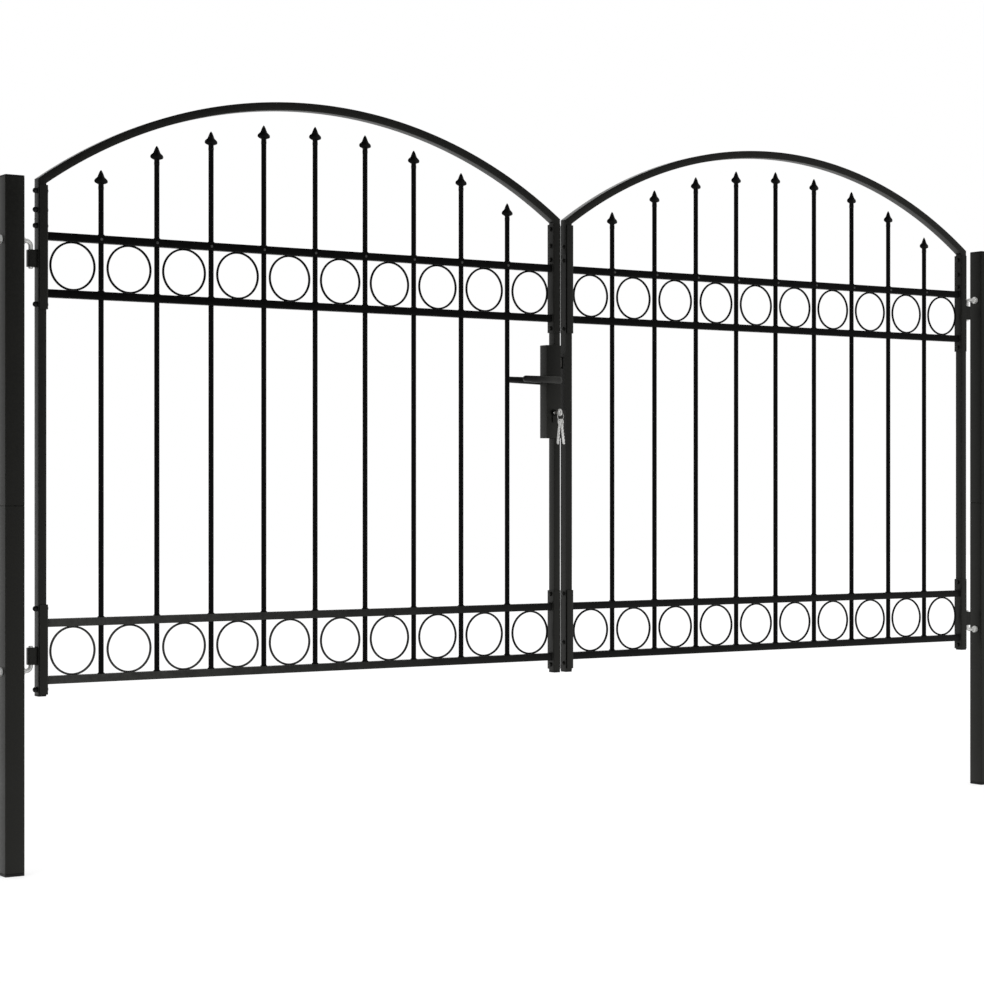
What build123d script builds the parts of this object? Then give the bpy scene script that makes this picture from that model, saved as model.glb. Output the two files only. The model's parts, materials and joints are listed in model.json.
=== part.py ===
from build123d import *
import os
from math import sqrt

# Double steel gate on two posts, in millimetres. X runs along the gate, Z is up and
# the lock's keys hang on the side towards -Y. The origin is the middle of the left post's foot.

# Posts: square tube in two lengths that butt at half height, with plastic caps
post_side = 45.0
post_wall = 2.0
post_height = 1528.0
post_joint_height = 807.0
foot_rim = 6.0
top_rim = 3.0
cap_plug_depth = 18.0
cap_clearance = 0.2

# Leaves: flat tube stiles, deeper than they are wide; the hook bolts are screwed further out on the right
left_hinge_gap = 36.5
right_hinge_gap = 48.5
leaf_width = 1405.0
meeting_gap = 17.4
leaf_bottom = 388.0
meeting_foot_drop = 5.0
stile_width = 19.0
stile_depth = 23.0
stile_wall = 1.5
plug_rim = 4.0
plug_depth = 15.0

# Arched head tube, mitred to a short stub over each stile. It springs just below the posts' tops.
spring_drop = 2.0
stub_length = 88.0
arch_rise = 226.0

# Bands of rings between two rails
rail_side = 18.0
rail_wall = 1.2
band_opening = 108.0
lower_band_rise = 26.0
upper_band_drop = 172.0
ring_thickness = 4.6
ring_depth = 4.6
weld_depth = 1.0

# Channels that wrap the stiles and carry the rails
sleeve_wall = 3.0
sleeve_fit = 0.3
sleeve_flange = 17.0
upper_sleeve_drop = 14.0
upper_sleeve_tail = 27.0
lower_sleeve_overhang = 32.0

# Round pickets with spear points
picket_pitch = 137.1
smallest_end_bay = 127.0
picket_diameter = 12.0
picket_clearance = 0.2
middle_tip_gap = 33.0
outer_tip_gap = 42.0
spear_width = 33.0
spear_height = 32.0
spear_thickness = 9.0
spear_neck_height = 12.0
spear_neck_margin = 0.4

# Half outline of a spear head, from the neck to below the tip: shares of half width and height
spear_outline_shares = (
    (0.36, 0.00),
    (0.80, 0.06),
    (0.97, 0.12),
    (1.00, 0.22),
    (0.93, 0.33),
    (0.72, 0.42),
    (0.52, 0.50),
    (0.43, 0.64),
    (0.28, 0.82),
)

# Hinges: hook bolts through the posts, their nuts, and square barrels on the stiles
hinge_offset = 13.5
hook_diameter = 10.0
hook_bend = 11.0
hook_tail = 20.0
hook_tip = 4.0
pin_clearance = 0.05
bolt_hole_clearance = 0.2
upper_bolt_drop = 50.0
lower_bolt_rise = 57.0
barrel_side = 15.5
barrel_height = 38.0
upper_barrel_drop = 19.0
lower_barrel_rise = 13.0
nut_flats = 17.0
nut_height = 8.0

# Lock case set between the two lengths of the left leaf's meeting stile
lock_drop = 32.0
lock_height = 234.0
lock_width = 44.0
lock_depth = 30.0
lock_wall = 2.0
lock_clearance = 0.2
latch_height = 24.0
latch_thickness = 11.0
latch_reach = 8.0
latch_tail = 26.0
latch_drop = 42.0
strike_margin = 3.0
strike_side_margin = 1.5
strike_thickness = 4.0
strike_height = 140.0
strike_overhang = 10.0

# Cylinder and keys
cylinder_level = 64.0
cylinder_diameter = 17.0
cylinder_fin_width = 10.0
cylinder_length_below = 24.5
cylinder_proud = 3.0
keyway_depth = 26.0
key_thickness = 2.2
key_blade_width = 8.0
key_clearance = 0.2
key_neck = 12.5
key_bow_radius = 9.5
key_hole_radius = 2.5
key_hole_offset = 4.0
spare_bow_radius = 7.0
spare_hole_offset = 3.0
spare_blade_length = 50.0
spare_spread = 2.4
spare_spread_shares = (-1, 1)
spare_leans = (6.0, -7.5)
spare_turn = 8.0
key_ring_radius = 9.0
key_ring_wire = 1.6
hang_clearance = 0.5

# Lever handles, one on each face of the case, on one square spindle
lever_drop = 47.0
lever_reach = 100.0
lever_root_height = 19.0
lever_tip_height = 15.5
lever_thickness = 9.0
lever_stand = 16.0
lever_neck_diameter = 18.0
lever_clearance = 0.3
spindle_side = 8.0

# Cuts run past what they cut by this much
overrun = 1.0

# Worked out from the sizes above
leaf_left = post_side / 2 + left_hinge_gap
right_post_shift = left_hinge_gap - right_hinge_gap
leaf_right = leaf_left + leaf_width
leaf_centre = (leaf_left + leaf_right) / 2
gate_centre = leaf_right + meeting_gap / 2
hinge_x = leaf_left - hinge_offset
stile_base = leaf_bottom + plug_rim
arch_spring = post_height - spring_drop
stile_top = arch_spring - stub_length
lower_band_base = leaf_bottom + lower_band_rise
upper_band_base = stile_top - upper_band_drop
lower_sleeve_top = lower_band_base + 2 * rail_side + band_opening + lower_sleeve_overhang
upper_sleeve_base = upper_band_base - upper_sleeve_tail
upper_sleeve_top = arch_spring - upper_sleeve_drop
lower_bolt_height = leaf_bottom + lower_bolt_rise
upper_bolt_height = stile_top - upper_bolt_drop
picket_run = leaf_width - 2 * (stile_width + smallest_end_bay)
picket_count = 1 + int(picket_run // picket_pitch)
lock_base = upper_sleeve_base - lock_drop - lock_height
latch_level = lock_height - latch_drop
lever_level = latch_level - lever_drop
arch_radius = ((leaf_width / 2) ** 2 + arch_rise ** 2) / (2 * arch_rise)
arch_centre = arch_spring + arch_rise - arch_radius
lock_x = leaf_right - lock_width / 2
lock_front = lock_depth / 2
lever_height = lock_base + lever_level
cylinder_height = lock_base + cylinder_level
gate_middle = Plane.YZ.offset(gate_centre)
leaf_middle = Plane.YZ.offset(leaf_centre)
upward = Plane(origin=(0, 0, 0), x_dir=(1, 0, 0), z_dir=(0, -1, 0))


def upright(shape):
    return upward * shape


def block(length, depth, height):
    return Box(length, depth, height, align=(Align.CENTER, Align.CENTER, Align.MIN))


def tube(width, depth, wall, height):
    return block(width, depth, height) - block(width - 2 * wall, depth - 2 * wall, height)


def cross_bar(diameter, length):
    return Rot(0, 90, 0) * Cylinder(diameter / 2, length)


def front_bar(diameter, length):
    return Rot(90, 0, 0) * Cylinder(diameter / 2, length)


# Posts

def post_pieces(post_x):
    bolt_hole = cross_bar(hook_diameter + 2 * bolt_hole_clearance, post_side + 2 * overrun)
    lower = Pos(0, 0, foot_rim) * tube(post_side, post_side, post_wall, post_joint_height - foot_rim)
    lower -= Pos(0, 0, lower_bolt_height) * bolt_hole
    upper_length = post_height - top_rim - post_joint_height
    upper = Pos(0, 0, post_joint_height) * tube(post_side, post_side, post_wall, upper_length)
    upper -= Pos(0, 0, upper_bolt_height) * bolt_hole
    plug_side = post_side - 2 * post_wall - 2 * cap_clearance
    foot = block(post_side, post_side, foot_rim)
    foot += Pos(0, 0, foot_rim) * block(plug_side, plug_side, cap_plug_depth)
    top = Pos(0, 0, post_height - top_rim) * block(post_side, post_side, top_rim)
    top += Pos(0, 0, post_height - top_rim - cap_plug_depth) * block(plug_side, plug_side, cap_plug_depth)
    made = {"post_lower": lower, "post_upper": upper, "post_foot_cap": foot, "post_top_cap": top}
    return {name: Pos(post_x, 0, 0) * shape for name, shape in made.items()}


# Hinges

def hinge_hook(post_x, bolt_height, pin_end):
    tail_x = post_x - post_side / 2 - hook_tail
    path = FilletPolyline(
        (tail_x, 0, bolt_height),
        (hinge_x, 0, bolt_height),
        (hinge_x, 0, pin_end),
        radius=hook_bend,
    )
    section = Plane(origin=path @ 0, z_dir=path % 0) * Circle(hook_diameter / 2)
    return sweep(section, path=path)


def hinge_nut(x, bolt_height):
    nut = extrude(RegularPolygon(nut_flats / 2, 6, major_radius=False), nut_height)
    nut -= Cylinder(hook_diameter / 2 + pin_clearance, 2 * nut_height + 2 * overrun)
    return Pos(x, 0, bolt_height) * Rot(0, 90, 0) * nut


def hinge_barrel(base):
    length = hinge_offset + barrel_side / 2
    body = Pos(leaf_left - length / 2, 0, base) * block(length, barrel_side, barrel_height)
    bore = Cylinder(hook_diameter / 2 + pin_clearance, 2 * barrel_height + 2 * overrun)
    return body - Pos(hinge_x, 0, base) * bore


def hinge_pieces(post_x):
    upper_barrel_base = upper_bolt_height - upper_barrel_drop - barrel_height
    lower_barrel_base = lower_bolt_height + lower_barrel_rise
    upper_pin_end = upper_barrel_base - hook_tip
    lower_pin_end = lower_barrel_base + barrel_height + hook_tip
    nuts = []
    for bolt_height in (lower_bolt_height, upper_bolt_height):
        nuts.append(hinge_nut(post_x - post_side / 2 - nut_height, bolt_height))
        nuts.append(hinge_nut(post_x + post_side / 2, bolt_height))
    return {
        "upper_hinge_hook": hinge_hook(post_x, upper_bolt_height, upper_pin_end),
        "lower_hinge_hook": hinge_hook(post_x, lower_bolt_height, lower_pin_end),
        "hinge_nuts": Compound(nuts),
        "hinge_barrels": Compound([hinge_barrel(lower_barrel_base), hinge_barrel(upper_barrel_base)]),
    }


# Leaf frame

def stile(x, base, top):
    return Pos(x, 0, base) * tube(stile_width, stile_depth, stile_wall, top - base)


def stile_plug(x, base):
    margin = 2 * stile_wall + 2 * cap_clearance
    plug = block(stile_width, stile_depth, plug_rim)
    plug += Pos(0, 0, plug_rim) * block(stile_width - margin, stile_depth - margin, plug_depth)
    return Pos(x, 0, base) * plug


def arch_outline(inset):
    half = leaf_width / 2 - inset
    radius = arch_radius - inset
    spring = arch_centre + sqrt(radius ** 2 - half ** 2)
    left = Line((-half, stile_top), (-half, spring))
    crown = ThreePointArc((-half, spring), (0, arch_centre + radius), (half, spring))
    right = Line((half, spring), (half, stile_top))
    foot = Line((half, stile_top), (-half, stile_top))
    return make_face([left, crown, right, foot])


def arch():
    skin = extrude(arch_outline(0) - arch_outline(stile_width), stile_depth / 2, both=True)
    hollow = arch_outline(stile_wall) - arch_outline(stile_width - stile_wall)
    core = extrude(hollow, stile_depth / 2 - stile_wall, both=True)
    return Pos(leaf_centre, 0, 0) * upright(skin - core)


def sleeve(base, top):
    inner_face = leaf_left + stile_width
    length = sleeve_flange + sleeve_fit + sleeve_wall
    channel = block(length, stile_depth + 2 * (sleeve_fit + sleeve_wall), top - base)
    pocket = block(length, stile_depth + 2 * sleeve_fit, top - base)
    channel -= Pos(-sleeve_wall, 0, 0) * pocket
    return Pos(inner_face - sleeve_flange + length / 2, 0, base) * channel


def sleeves():
    near = [sleeve(stile_base, lower_sleeve_top), sleeve(upper_sleeve_base, upper_sleeve_top)]
    return Compound(near + [mirror(each, about=leaf_middle) for each in near])


# Pickets, rings and rails

def picket_places():
    first = leaf_centre - (picket_count - 1) * picket_pitch / 2
    return [first + index * picket_pitch for index in range(picket_count)]


def ring_places():
    first = leaf_centre - picket_count * picket_pitch / 2
    return [first + index * picket_pitch for index in range(picket_count + 1)]


def arch_underside(x):
    return arch_centre + sqrt((arch_radius - stile_width) ** 2 - (x - leaf_centre) ** 2)


def tip_height(x):
    reach = (picket_count - 1) * picket_pitch / 2
    crown = arch_underside(leaf_centre) - middle_tip_gap
    drop = crown - arch_underside(leaf_centre + reach) + outer_tip_gap
    radius = (reach ** 2 + drop ** 2) / (2 * drop)
    return crown - radius + sqrt(radius ** 2 - (x - leaf_centre) ** 2)


def picket_top(x):
    return tip_height(x) - spear_height - spear_neck_height


def picket_holes(base):
    hole = Cylinder(picket_diameter / 2 + picket_clearance, 2 * rail_side)
    return [Pos(x, 0, base + rail_side / 2) * hole for x in picket_places()]


def rail(base):
    length = leaf_width - 2 * (stile_width + sleeve_fit + sleeve_wall)
    bore = rail_side - 2 * rail_wall
    bar = block(length, rail_side, rail_side) - Pos(0, 0, rail_wall) * block(length, bore, bore)
    return Pos(leaf_centre, 0, base) * bar


def ring(x, height):
    outer = band_opening / 2 + weld_depth
    outline = Circle(outer) - Circle(outer - ring_thickness)
    return Pos(x, 0, height) * upright(extrude(outline, ring_depth / 2, both=True))


def ring_band(base, pickets_pass_base):
    top_rail_base = base + rail_side + band_opening
    bottom_rail = rail(base)
    if pickets_pass_base:
        bottom_rail -= picket_holes(base)
    top_rail = rail(top_rail_base) - picket_holes(top_rail_base)
    middle = base + rail_side + band_opening / 2
    return bottom_rail + top_rail + [ring(x, middle) for x in ring_places()]


def picket(x):
    base = lower_band_base + rail_side
    length = picket_top(x) - base
    bar = Cylinder(picket_diameter / 2, length, align=(Align.CENTER, Align.CENTER, Align.MIN))
    return Pos(x, 0, base) * bar


def spear_point(x):
    right = [(across * spear_width / 2, up * spear_height) for across, up in spear_outline_shares]
    left = [(-across, up) for across, up in reversed(right)]
    outline = make_face(Polyline(*right, (0, spear_height), *left, close=True))
    head = Pos(0, 0, spear_neck_height) * upright(extrude(outline, spear_thickness / 2, both=True))
    neck_radius = picket_diameter / 2 + spear_neck_margin
    neck = Cylinder(neck_radius, spear_neck_height, align=(Align.CENTER, Align.CENTER, Align.MIN))
    return Pos(x, 0, picket_top(x)) * (neck + head)


def leaf_pieces():
    hinge_stile_x = leaf_left + stile_width / 2
    meeting_stile_x = leaf_right - stile_width / 2
    hinge_plug = stile_plug(hinge_stile_x, leaf_bottom)
    meeting_plug = stile_plug(meeting_stile_x, leaf_bottom - meeting_foot_drop)
    return {
        "hinge_stile": stile(hinge_stile_x, stile_base, stile_top),
        "stile_plugs": Compound([hinge_plug, meeting_plug]),
        "arch": arch(),
        "sleeves": sleeves(),
        "upper_ring_band": ring_band(upper_band_base, True),
        "lower_ring_band": ring_band(lower_band_base, False),
        "pickets": Compound([picket(x) for x in picket_places()]),
        "spear_points": Compound([spear_point(x) for x in picket_places()]),
    }


# Meeting stiles: the left one is cut for the lock, the right one carries a strike plate with a slot for the latch

def strike_slot():
    length = 2 * (strike_thickness + overrun)
    slot = block(length, latch_thickness + 2 * strike_side_margin, latch_height + 2 * strike_margin)
    return Pos(leaf_right, 0, lock_base + latch_level - latch_height / 2 - strike_margin) * slot


def strike_plate():
    top = lock_base + latch_level + latch_height / 2 + strike_overhang
    plate = block(strike_thickness, stile_depth, strike_height)
    return Pos(leaf_right + strike_thickness / 2, 0, top - strike_height) * plate - strike_slot()


def meeting_stiles():
    x = leaf_right - stile_width / 2
    base = stile_base - meeting_foot_drop
    right_stile = stile(x, base, stile_top)
    return {
        "left_lower_meeting_stile": stile(x, base, lock_base),
        "left_upper_meeting_stile": stile(x, lock_base + lock_height, stile_top),
        "right_meeting_stile": mirror(right_stile, about=gate_middle),
        "strike_plate": mirror(strike_plate(), about=gate_middle),
    }


# Lock

def cylinder_outline(clearance):
    barrel = Circle(cylinder_diameter / 2 + clearance)
    fin_length = cylinder_length_below + clearance
    fin = Pos(0, -fin_length / 2) * Rectangle(cylinder_fin_width + 2 * clearance, fin_length)
    return barrel + fin


def lock_cylinder():
    length = lock_depth + 2 * cylinder_proud
    body = extrude(cylinder_outline(0), length / 2, both=True)
    keyway = Box(key_thickness + 2 * key_clearance, key_blade_width + 2 * key_clearance, 2 * keyway_depth)
    body -= Pos(0, 0, length / 2) * keyway
    return Pos(lock_x, 0, cylinder_height) * upright(body)


def lock_case():
    inner = block(lock_width - 2 * lock_wall, lock_depth - 2 * lock_wall, lock_height - 2 * lock_wall)
    case = block(lock_width, lock_depth, lock_height) - Pos(0, 0, lock_wall) * inner
    through = lock_depth + 2 * overrun
    cylinder_hole = extrude(cylinder_outline(lock_clearance), through / 2, both=True)
    case -= Pos(0, 0, cylinder_level) * upright(cylinder_hole)
    spindle_hole = spindle_side * sqrt(2) + 2 * lever_clearance
    case -= Pos(0, 0, lever_level) * front_bar(spindle_hole, through)
    mouth = Box(2 * lock_wall, latch_thickness + 2 * lock_clearance, latch_height + 2 * lock_clearance)
    case -= Pos(lock_width / 2, 0, latch_level) * mouth
    return Pos(lock_x, 0, lock_base) * case


def latch_bolt():
    front = lock_width / 2 + latch_reach
    tail = lock_width / 2 - latch_tail
    half = latch_thickness / 2
    outline = Polyline((tail, -half), (front, -half), (front - latch_reach, half), (tail, half), close=True)
    bolt = extrude(make_face(outline), latch_height / 2, both=True)
    return Pos(lock_x, 0, lock_base + latch_level) * bolt


def lever():
    root = Circle(lever_root_height / 2)
    tip = Pos(-lever_reach, (lever_root_height - lever_tip_height) / 2) * Circle(lever_tip_height / 2)
    grip = extrude(make_hull(root.edges() + tip.edges()), lever_thickness)
    stand = lever_stand - lever_clearance
    neck = Pos(0, 0, -stand / 2) * Cylinder(lever_neck_diameter / 2, stand)
    return Pos(lock_x, -lock_front - lever_stand, lever_height) * upright(grip + neck)


def spindle():
    length = lock_depth + 2 * lever_clearance
    return Pos(lock_x, 0, lever_height) * Box(spindle_side, length, spindle_side)


# Keys: flat, with the blade along local X. The spare ones hang from the ring and lean apart.

def key_plate(bow_radius, blade_length, hole_offset):
    bow = Circle(bow_radius)
    reach = bow_radius + blade_length
    blade = Pos(reach / 2, 0) * Rectangle(reach, key_blade_width)
    outline = bow + blade - Pos(-hole_offset, 0) * Circle(key_hole_radius)
    return extrude(outline, key_thickness / 2, both=True)


def bow_place():
    return -lock_front - cylinder_proud - key_neck - key_bow_radius


def lock_key():
    plate = key_plate(key_bow_radius, key_neck + keyway_depth - overrun, key_hole_offset)
    along_y = Plane(origin=(lock_x, bow_place(), cylinder_height), x_dir=(0, 1, 0), z_dir=(1, 0, 0))
    return along_y * plate


def spare_keys():
    hang = key_hole_radius - key_ring_wire / 2 - hang_clearance
    ring_y = bow_place() - key_hole_offset
    ring_height = cylinder_height - hang - key_ring_radius
    wire = Pos(lock_x, ring_y, ring_height) * Rot(90, 0, 0) * Torus(key_ring_radius, key_ring_wire / 2)
    down = Plane(origin=(0, 0, 0), x_dir=(0, 0, -1), z_dir=(1, 0, 0))
    spare = key_plate(spare_bow_radius, spare_blade_length, spare_hole_offset)
    plate = down * (Pos(spare_hole_offset, 0) * spare)
    plate = Rot(0, 0, spare_turn) * plate
    keys = [wire]
    for share, lean in zip(spare_spread_shares, spare_leans):
        place = share * spare_spread
        hole_height = ring_height - sqrt(key_ring_radius ** 2 - place ** 2) - hang
        keys.append(Pos(lock_x + place, ring_y, hole_height) * Rot(0, lean, 0) * plate)
    return Compound(keys)


def lock_pieces():
    front = lever()
    return {
        "lock_case": lock_case(),
        "lock_cylinder": lock_cylinder(),
        "latch_bolt": latch_bolt(),
        "front_lever": front,
        "back_lever": mirror(front, about=Plane.XZ),
        "lever_spindle": spindle(),
        "lock_key": lock_key(),
        "spare_keys": spare_keys(),
    }


os.makedirs("parts", exist_ok=True)
leaf = leaf_pieces()
pieces = meeting_stiles() | lock_pieces()
for name, shape in (post_pieces(0) | hinge_pieces(0) | leaf).items():
    pieces["left_" + name] = shape
for name, shape in (post_pieces(right_post_shift) | hinge_pieces(right_post_shift) | leaf).items():
    pieces["right_" + name] = mirror(shape, about=gate_middle)
for name, shape in pieces.items():
    export_step(shape, f"parts/{name}.step")
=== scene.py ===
import json
import math

import bmesh
import bpy
import numpy as np
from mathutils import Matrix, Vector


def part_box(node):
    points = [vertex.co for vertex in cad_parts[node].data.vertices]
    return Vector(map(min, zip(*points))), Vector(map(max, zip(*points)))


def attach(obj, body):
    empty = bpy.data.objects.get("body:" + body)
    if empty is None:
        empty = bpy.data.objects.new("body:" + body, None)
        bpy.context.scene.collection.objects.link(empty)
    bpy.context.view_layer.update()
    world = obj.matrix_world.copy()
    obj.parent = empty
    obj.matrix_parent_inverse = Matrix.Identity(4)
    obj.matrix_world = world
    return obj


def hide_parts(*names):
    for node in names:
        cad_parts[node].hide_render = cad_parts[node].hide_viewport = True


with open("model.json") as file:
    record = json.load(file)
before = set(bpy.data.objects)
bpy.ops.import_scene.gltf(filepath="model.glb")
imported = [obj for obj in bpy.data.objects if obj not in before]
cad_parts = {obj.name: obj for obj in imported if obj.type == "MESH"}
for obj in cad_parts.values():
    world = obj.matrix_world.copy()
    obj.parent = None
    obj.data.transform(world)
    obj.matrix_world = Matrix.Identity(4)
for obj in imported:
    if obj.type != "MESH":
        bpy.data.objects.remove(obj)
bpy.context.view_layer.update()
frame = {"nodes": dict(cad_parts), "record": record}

mm = 0.001
acrossX = np.array([1.0, 0.0, 0.0])
acrossY = np.array([0.0, 1.0, 0.0])
upZ = np.array([0.0, 0.0, 1.0])
sides = ("left", "right")
mergeDistance = 0.001 * mm


def boxOf(node):
    low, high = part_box(node)
    return np.array(low), np.array(high)


gateMiddle = (boxOf("left_arch")[0][0] + boxOf("right_arch")[1][0]) / 2


def sideBox(side, name):
    # a node's box as it would stand on the left: the right one is turned about the gate's middle
    low, high = boxOf(side + "_" + name)
    if side == "right":
        low[0], high[0] = 2 * gateMiddle - high[0], 2 * gateMiddle - low[0]
    return low, high


# Turns and lengths

def fullTurn(count):
    return np.arange(count) * 2 * math.pi / count


def quarterTurn(count):
    return np.linspace(0, math.pi / 2, count)


def softWaves(turn, power):
    # cosine and sine of turn, each raised to a power with its sign kept
    return [np.sign(wave) * np.abs(wave) ** power for wave in (np.cos(turn), np.sin(turn))]


def lengthAlong(path):
    return np.concatenate([[0], np.cumsum(np.linalg.norm(np.diff(path, axis=0), axis=1))])


# Grids and meshes

def gridFaces(rows, cols, loopRows):
    # one quad for each cell; columns always close into a ring, rows only where they loop
    row, col = np.meshgrid(np.arange(rows if loopRows else rows - 1), np.arange(cols), indexing="ij")
    nextRow, nextCol = (row + 1) % rows, (col + 1) % cols
    corners = (row * cols + col, row * cols + nextCol, nextRow * cols + nextCol, nextRow * cols + col)
    return np.stack(corners, -1).reshape(-1, 4).tolist()


def ringGrid(points, loopRows=False):
    # points is rows x columns x 3; where the rows are open, flat ends close the shell
    rows, cols = points.shape[:2]
    faces = gridFaces(rows, cols, loopRows)
    if not loopRows:
        faces.append(list(range(cols))[::-1])
        faces.append(list(range((rows - 1) * cols, rows * cols)))
    return points.reshape(-1, 3), faces


def roundedBox(width, depth, radius, perCorner=5):
    # outline of a rounded rectangle, anticlockwise: four quarter turns about the corners' centres
    turn = np.arange(4)[:, None] * math.pi / 2 + quarterTurn(perCorner)
    signX = np.array([1, -1, -1, 1])[:, None]
    signY = np.array([1, 1, -1, -1])[:, None]
    x = signX * (width / 2 - radius) + radius * np.cos(turn)
    y = signY * (depth / 2 - radius) + radius * np.sin(turn)
    return np.stack([x.ravel(), y.ravel()], -1)


def circle(radius, count):
    turn = fullTurn(count)
    return radius * np.stack([np.cos(turn), np.sin(turn)], -1)


def sweep(profile, path, side, loop=False):
    # profile carried along a flat path: its first axis lies across the path in the path's plane, its second
    # along side; at a bend a row stands on the mean direction, widened by one over the cosine of half
    # the turn
    path = np.asarray(path, float)
    after = np.roll(path, -1, 0) - path
    before = path - np.roll(path, 1, 0)
    if not loop:
        after[-1] = before[-1]
        before[0] = after[0]
    after /= np.linalg.norm(after, axis=1, keepdims=True)
    before /= np.linalg.norm(before, axis=1, keepdims=True)
    mean = after + before
    mean /= np.linalg.norm(mean, axis=1, keepdims=True)
    widen = 1 / (mean * before).sum(1, keepdims=True)
    across = np.cross(side, mean) * widen
    profile = np.broadcast_to(profile, (len(path),) + np.shape(profile)[-2:])
    points = path[:, None] + profile[..., :1] * across[:, None] + profile[..., 1:] * side
    return ringGrid(points, loop)


def turned(outline, foot, axis, count):
    # outline of (radius, height) pairs turned about axis from foot
    outline = np.asarray(outline, float)
    start = np.cross(axis, acrossX if abs(axis[0]) < 0.5 else acrossY)
    start /= np.linalg.norm(start)
    other = np.cross(axis, start)
    turn = fullTurn(count)
    spoke = np.cos(turn)[:, None] * start + np.sin(turn)[:, None] * other
    points = foot + outline[:, None, :1] * spoke + outline[:, None, 1:] * axis
    return ringGrid(points)


def stacked(outline, heights, insets, foot):
    # one outline at several heights, each row drawn in towards the middle by its inset
    outline = np.asarray(outline, float)
    half = np.abs(outline).max(0)
    shrink = 1 - np.asarray(insets, float)[:, None, None] / half
    flat = outline * shrink
    level = np.broadcast_to(np.asarray(heights, float)[:, None, None], flat.shape[:2] + (1,))
    return ringGrid(np.concatenate([flat, level], -1) + np.asarray(foot, float))


def moved(shell, matrix, offset):
    points, faces = shell
    return points @ np.asarray(matrix, float).T + np.asarray(offset, float), faces


def flipped(shells, signs, offset):
    # a mirror image: the points change sign and move, and each face is walked the other way round
    return [(points * signs + offset, [face[::-1] for face in faces]) for points, faces in shells]


def mirrored(shells, middle):
    # the other leaf or post, or a leaf's other edge: x turned about a middle
    return flipped(shells, (-1, 1, 1), (2 * middle, 0, 0))


def makePiece(name, body, slotName, shells, replaced=(), sharpAngle=32, look=None):
    points = np.concatenate([shell[0] for shell in shells])
    starts = np.cumsum([0] + [len(shell[0]) for shell in shells[:-1]])
    faces = [[corner + int(start) for corner in face]
             for start, shell in zip(starts, shells) for face in shell[1]]
    mesh = bpy.data.meshes.new(name)
    mesh.from_pydata(points.tolist(), [], faces)
    work = bmesh.new()
    work.from_mesh(mesh)
    bmesh.ops.remove_doubles(work, verts=work.verts, dist=mergeDistance)
    bmesh.ops.recalc_face_normals(work, faces=work.faces)
    work.to_mesh(mesh)
    work.free()
    mesh.polygons.foreach_set("use_smooth", np.ones(len(mesh.polygons), bool))
    mesh.set_sharp_from_angle(angle=math.radians(sharpAngle))
    mesh.materials.append(finishes[look or slotName])
    piece = bpy.data.objects.new(name, mesh)
    bpy.context.scene.collection.objects.link(piece)
    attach(piece, body)
    if replaced:
        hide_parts(*replaced)


def oneSide(side, name, body, slotName, shells, replaced=(), **shading):
    # shells are built on the left and turned over for the right
    made = shells if side == "left" else mirrored(shells, gateMiddle)
    makePiece(side + name, body, slotName, made, [side + "_" + node for node in replaced], **shading)


def bothLeaves(name, slotName, shells, replaced=(), **shading):
    for side in sides:
        oneSide(side, name, side + "_leaf", slotName, shells, replaced, **shading)


# Finishes

class Wire:
    # a socket whose operators add Math nodes
    def __init__(self, paint, socket):
        self.paint = paint
        self.socket = socket

    def maths(self, operation, first, second):
        return self.paint.node("Math", {"operation": operation}, {0: first, 1: second})

    def __add__(self, other):
        return self.maths("ADD", self, other)

    def __radd__(self, other):
        return self.maths("ADD", other, self)

    def __sub__(self, other):
        return self.maths("SUBTRACT", self, other)

    def __rsub__(self, other):
        return self.maths("SUBTRACT", other, self)

    def __mul__(self, other):
        return self.maths("MULTIPLY", self, other)

    def __rmul__(self, other):
        return self.maths("MULTIPLY", other, self)

    def clamped(self):
        return self.paint.node("Clamp", {}, {"Value": self})


class Paint:
    # the node tree of a material or world
    def __init__(self, owner):
        owner.use_nodes = True
        self.tree = owner.node_tree
        self.tree.nodes.clear()

    def node(self, kind, settings=None, sockets=None, out=0):
        made = self.tree.nodes.new("ShaderNode" + kind)
        for key, value in (settings or {}).items():
            setattr(made, key, value)
        for key, value in (sockets or {}).items():
            if isinstance(value, Wire):
                self.tree.links.new(value.socket, made.inputs[key])
            else:
                made.inputs[key].default_value = value
        return Wire(self, made.outputs[out]) if len(made.outputs) else None

    def blend(self, share, first, second):
        return self.node("Mix", {"data_type": "RGBA"}, {0: share, 6: first, 7: second}, out=2)


grainsPerSpeck = 7


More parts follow.
